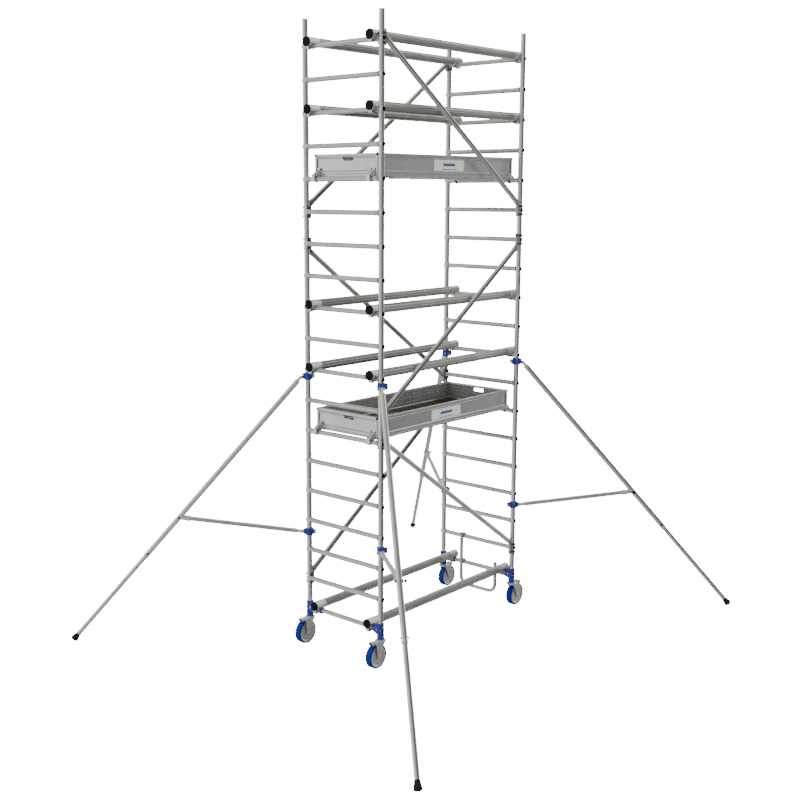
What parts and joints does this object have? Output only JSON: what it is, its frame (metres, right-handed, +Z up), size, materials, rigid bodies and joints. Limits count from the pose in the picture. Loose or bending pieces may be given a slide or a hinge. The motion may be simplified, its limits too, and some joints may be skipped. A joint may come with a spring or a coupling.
{
  "type": "mobile tower scaffold",
  "caption": "Aluminium mobile access tower with ladder-frame ends, guard rails, diagonal braces, trapdoor platforms, braked castors and telescopic stabilisers.",
  "frame": {"origin": "ground level under the tower's centre", "axes": "+Z up; X along the bay's length; Y along the rungs; front is -Y"},
  "size_m": [4.4984, 3.7642, 5.005],
  "materials": {
    "frame_aluminium": "satin extruded tube with fine grooves",
    "rail_aluminium": "satin extruded tube with deep grooves",
    "tray_aluminium": "satin extruded boards",
    "leg_aluminium": "smooth drawn tube",
    "blue_casting": "powder-coated casting",
    "castor_steel": "zinc-plated pressed steel",
    "castor_wheel": "blue elastic tyre on a grey hub",
    "deck_plywood": "film-faced anti-slip plywood",
    "black_plastic": "moulded plastic",
    "black_rubber": "moulded rubber"
  },
  "bodies": {
    "tower": {"frame_lower_left": "frame_aluminium", "frame_lower_right": "frame_aluminium", "frame_middle_left": "frame_aluminium", "frame_middle_right": "frame_aluminium", "frame_upper_left": "frame_aluminium", "frame_upper_right": "frame_aluminium", "lower_knee_rail_front": "rail_aluminium", "lower_hand_rail_front": "rail_aluminium", "upper_knee_rail_front": "rail_aluminium", "upper_hand_rail_front": "rail_aluminium", "base_tube_front": "rail_aluminium", "brace_lower_front": "rail_aluminium", "brace_middle_front": "rail_aluminium", "brace_upper_front": "rail_aluminium", "lower_knee_rail_rear": "rail_aluminium", "lower_hand_rail_rear": "rail_aluminium", "upper_knee_rail_rear": "rail_aluminium", "upper_hand_rail_rear": "rail_aluminium", "base_tube_rear": "rail_aluminium", "brace_lower_rear": "rail_aluminium", "brace_middle_rear": "rail_aluminium", "brace_upper_rear": "rail_aluminium", "platform_tray_lower": "tray_aluminium", "platform_tray_upper": "tray_aluminium", "access_step": "frame_aluminium"},
    "hatch_lower": {"hatch_lower": "deck_plywood"},
    "hatch_upper": {"hatch_upper": "deck_plywood"},
    "castor_rear_left": {"castor_fork_rear_left": "castor_steel"},
    "wheel_rear_left": {"wheel_rear_left": "castor_wheel"},
    "brake_pedal_rear_left": {"brake_pedal_rear_left": "castor_steel"},
    "stabiliser_mount_rear_left": {"upper_coupler_rear_left": "blue_casting", "lower_coupler_rear_left": "blue_casting"},
    "outer_leg_rear_left": {"outer_leg_rear_left": "leg_aluminium"},
    "inner_leg_rear_left": {"inner_leg_rear_left": "leg_aluminium"},
    "strut_rear_left": {"strut_rear_left": "leg_aluminium"},
    "castor_front_left": {"castor_fork_front_left": "castor_steel"},
    "wheel_front_left": {"wheel_front_left": "castor_wheel"},
    "brake_pedal_front_left": {"brake_pedal_front_left": "castor_steel"},
    "stabiliser_mount_front_left": {"upper_coupler_front_left": "blue_casting", "lower_coupler_front_left": "blue_casting"},
    "outer_leg_front_left": {"outer_leg_front_left": "leg_aluminium"},
    "inner_leg_front_left": {"inner_leg_front_left": "leg_aluminium"},
    "strut_front_left": {"strut_front_left": "leg_aluminium"},
    "castor_rear_right": {"castor_fork_rear_right": "castor_steel"},
    "wheel_rear_right": {"wheel_rear_right": "castor_wheel"},
    "brake_pedal_rear_right": {"brake_pedal_rear_right": "castor_steel"},
    "stabiliser_mount_rear_right": {"upper_coupler_rear_right": "blue_casting", "lower_coupler_rear_right": "blue_casting"},
    "outer_leg_rear_right": {"outer_leg_rear_right": "leg_aluminium"},
    "inner_leg_rear_right": {"inner_leg_rear_right": "leg_aluminium"},
    "strut_rear_right": {"strut_rear_right": "leg_aluminium"},
    "castor_front_right": {"castor_fork_front_right": "castor_steel"},
    "wheel_front_right": {"wheel_front_right": "castor_wheel"},
    "brake_pedal_front_right": {"brake_pedal_front_right": "castor_steel"},
    "stabiliser_mount_front_right": {"upper_coupler_front_right": "blue_casting", "lower_coupler_front_right": "blue_casting"},
    "outer_leg_front_right": {"outer_leg_front_right": "leg_aluminium"},
    "inner_leg_front_right": {"inner_leg_front_right": "leg_aluminium"},
    "strut_front_right": {"strut_front_right": "leg_aluminium"}
  },
  "joints": [
    {"name": "hatch_lower_hinge", "type": "hinge", "parent": "tower", "child": "hatch_lower", "pos_m": [-0.34, 0.23, 1.84], "axis": [-1, 0, 0], "range_deg": [0, 100]},
    {"name": "hatch_upper_hinge", "type": "hinge", "parent": "tower", "child": "hatch_upper", "pos_m": [-0.34, 0.23, 3.84], "axis": [-1, 0, 0], "range_deg": [0, 100]},
    {"name": "castor_swivel_rear_left", "type": "hinge", "parent": "tower", "child": "castor_rear_left", "pos_m": [-0.9, 0.39, 0.2253], "axis": [0, 0, 1], "continuous": true},
    {"name": "wheel_spin_rear_left", "type": "hinge", "parent": "castor_rear_left", "child": "wheel_rear_left", "pos_m": [-0.955, 0.39, 0.1], "axis": [0, 1, 0], "continuous": true},
    {"name": "brake_rear_left", "type": "hinge", "parent": "castor_rear_left", "child": "brake_pedal_rear_left", "pos_m": [-0.984, 0.39, 0.209], "axis": [0, -1, 0], "range_deg": [0, 18]},
    {"name": "stabiliser_yaw_rear_left", "type": "hinge", "parent": "tower", "child": "stabiliser_mount_rear_left", "pos_m": [-0.9, 0.39, 0.95], "axis": [0, 0, 1], "range_deg": [-35, 35]},
    {"name": "leg_fold_rear_left", "type": "hinge", "parent": "stabiliser_mount_rear_left", "child": "outer_leg_rear_left", "pos_m": [-0.93885, 0.43307, 2.235], "axis": [-0.7425, -0.6698, 0], "range_deg": [0, 10]},
    {"name": "strut_swing_rear_left", "type": "hinge", "parent": "stabiliser_mount_rear_left", "child": "strut_rear_left", "pos_m": [-0.94019, 0.43455, 0.95], "axis": [-0.7425, -0.6698, 0], "range_deg": [0, 25.6]},
    {"name": "leg_slide_rear_left", "type": "slide", "parent": "outer_leg_rear_left", "child": "inner_leg_rear_left", "axis": [-0.4384, 0.486, -0.756], "range_m": [-0.5, 0.35]},
    {"name": "castor_swivel_front_left", "type": "hinge", "parent": "tower", "child": "castor_front_left", "pos_m": [-0.9, -0.39, 0.2253], "axis": [0, 0, 1], "continuous": true},
    {"name": "wheel_spin_front_left", "type": "hinge", "parent": "castor_front_left", "child": "wheel_front_left", "pos_m": [-0.955, -0.39, 0.1], "axis": [0, 1, 0], "continuous": true},
    {"name": "brake_front_left", "type": "hinge", "parent": "castor_front_left", "child": "brake_pedal_front_left", "pos_m": [-0.984, -0.39, 0.209], "axis": [0, -1, 0], "range_deg": [0, 18]},
    {"name": "stabiliser_yaw_front_left", "type": "hinge", "parent": "tower", "child": "stabiliser_mount_front_left", "pos_m": [-0.9, -0.39, 0.95], "axis": [0, 0, 1], "range_deg": [-35, 35]},
    {"name": "leg_fold_front_left", "type": "hinge", "parent": "stabiliser_mount_front_left", "child": "outer_leg_front_left", "pos_m": [-0.93885, -0.43307, 2.235], "axis": [0.7425, -0.6698, 0], "range_deg": [0, 10]},
    {"name": "strut_swing_front_left", "type": "hinge", "parent": "stabiliser_mount_front_left", "child": "strut_front_left", "pos_m": [-0.94019, -0.43455, 0.95], "axis": [0.7425, -0.6698, 0], "range_deg": [0, 25.6]},
    {"name": "leg_slide_front_left", "type": "slide", "parent": "outer_leg_front_left", "child": "inner_leg_front_left", "axis": [-0.4384, -0.486, -0.756], "range_m": [-0.5, 0.35]},
    {"name": "castor_swivel_rear_right", "type": "hinge", "parent": "tower", "child": "castor_rear_right", "pos_m": [0.9, 0.39, 0.2253], "axis": [0, 0, 1], "continuous": true},
    {"name": "wheel_spin_rear_right", "type": "hinge", "parent": "castor_rear_right", "child": "wheel_rear_right", "pos_m": [0.955, 0.39, 0.1], "axis": [0, 1, 0], "continuous": true},
    {"name": "brake_rear_right", "type": "hinge", "parent": "castor_rear_right", "child": "brake_pedal_rear_right", "pos_m": [0.984, 0.39, 0.209], "axis": [0, 1, 0], "range_deg": [0, 18]},
    {"name": "stabiliser_yaw_rear_right", "type": "hinge", "parent": "tower", "child": "stabiliser_mount_rear_right", "pos_m": [0.9, 0.39, 0.95], "axis": [0, 0, 1], "range_deg": [-35, 35]},
    {"name": "leg_fold_rear_right", "type": "hinge", "parent": "stabiliser_mount_rear_right", "child": "outer_leg_rear_right", "pos_m": [0.93885, 0.43307, 2.235], "axis": [-0.7425, 0.6698, 0], "range_deg": [0, 10]},
    {"name": "strut_swing_rear_right", "type": "hinge", "parent": "stabiliser_mount_rear_right", "child": "strut_rear_right", "pos_m": [0.94019, 0.43455, 0.95], "axis": [-0.7425, 0.6698, 0], "range_deg": [0, 25.6]},
    {"name": "leg_slide_rear_right", "type": "slide", "parent": "outer_leg_rear_right", "child": "inner_leg_rear_right", "axis": [0.4384, 0.486, -0.756], "range_m": [-0.5, 0.35]},
    {"name": "castor_swivel_front_right", "type": "hinge", "parent": "tower", "child": "castor_front_right", "pos_m": [0.9, -0.39, 0.2253], "axis": [0, 0, 1], "continuous": true},
    {"name": "wheel_spin_front_right", "type": "hinge", "parent": "castor_front_right", "child": "wheel_front_right", "pos_m": [0.955, -0.39, 0.1], "axis": [0, 1, 0], "continuous": true},
    {"name": "brake_front_right", "type": "hinge", "parent": "castor_front_right", "child": "brake_pedal_front_right", "pos_m": [0.984, -0.39, 0.209], "axis": [0, 1, 0], "range_deg": [0, 18]},
    {"name": "stabiliser_yaw_front_right", "type": "hinge", "parent": "tower", "child": "stabiliser_mount_front_right", "pos_m": [0.9, -0.39, 0.95], "axis": [0, 0, 1], "range_deg": [-35, 35]},
    {"name": "leg_fold_front_right", "type": "hinge", "parent": "stabiliser_mount_front_right", "child": "outer_leg_front_right", "pos_m": [0.93885, -0.43307, 2.235], "axis": [0.7425, 0.6698, 0], "range_deg": [0, 10]},
    {"name": "strut_swing_front_right", "type": "hinge", "parent": "stabiliser_mount_front_right", "child": "strut_front_right", "pos_m": [0.94019, -0.43455, 0.95], "axis": [0.7425, 0.6698, 0], "range_deg": [0, 25.6]},
    {"name": "leg_slide_front_right", "type": "slide", "parent": "outer_leg_front_right", "child": "inner_leg_front_right", "axis": [0.4384, -0.486, -0.756], "range_m": [-0.5, 0.35]}
  ],
  "couplings": [
    {"joint": "strut_swing_rear_left", "follows": "leg_fold_rear_left", "ratio": 2.54},
    {"joint": "strut_swing_front_left", "follows": "leg_fold_front_left", "ratio": 2.54},
    {"joint": "strut_swing_rear_right", "follows": "leg_fold_rear_right", "ratio": 2.54},
    {"joint": "strut_swing_front_right", "follows": "leg_fold_front_right", "ratio": 2.54}
  ]
}
